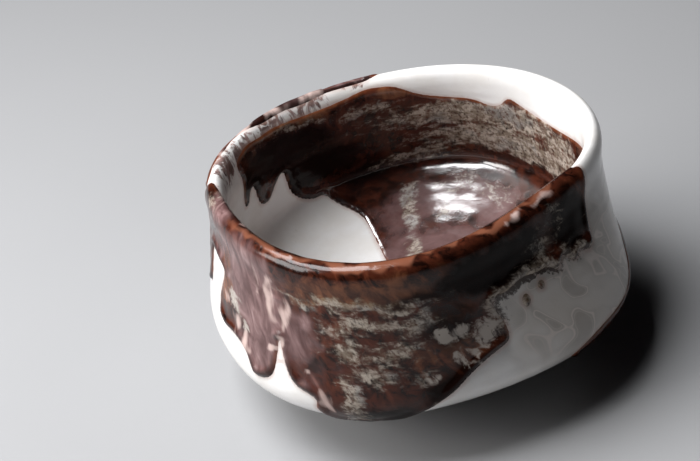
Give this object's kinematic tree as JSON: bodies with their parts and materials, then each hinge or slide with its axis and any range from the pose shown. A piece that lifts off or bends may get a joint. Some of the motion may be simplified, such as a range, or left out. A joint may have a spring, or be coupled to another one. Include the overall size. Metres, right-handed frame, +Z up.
{
  "type": "matcha bowl",
  "caption": "Stoneware tea bowl, pressed out of round, with a low turned foot, a sharp hip, a rolled lip and white glaze under poured iron-brown glaze that runs in drips.",
  "frame": {"origin": "centre of the foot ring's base, on the surface that the bowl stands on", "axes": "+Z up through the foot's axis; -Y to the front, where the glaze runs lowest; +X to the right"},
  "size_m": [0.1307, 0.1362, 0.0703],
  "materials": {
    "clay": "matte, unglazed stoneware",
    "white_glaze": "semi-gloss white glaze",
    "iron_glaze": "semi-gloss iron-brown glaze"
  },
  "bodies": {
    "root": {"clay_body": "clay", "foot_ring": "clay", "white_glaze_outside": "white_glaze", "white_glaze_inside": "white_glaze", "iron_glaze_front": "iron_glaze", "iron_glaze_left": "iron_glaze", "iron_glaze_back": "iron_glaze", "iron_glaze_inside": "iron_glaze", "iron_glaze_drops": "iron_glaze"}
  },
  "joints": []
}
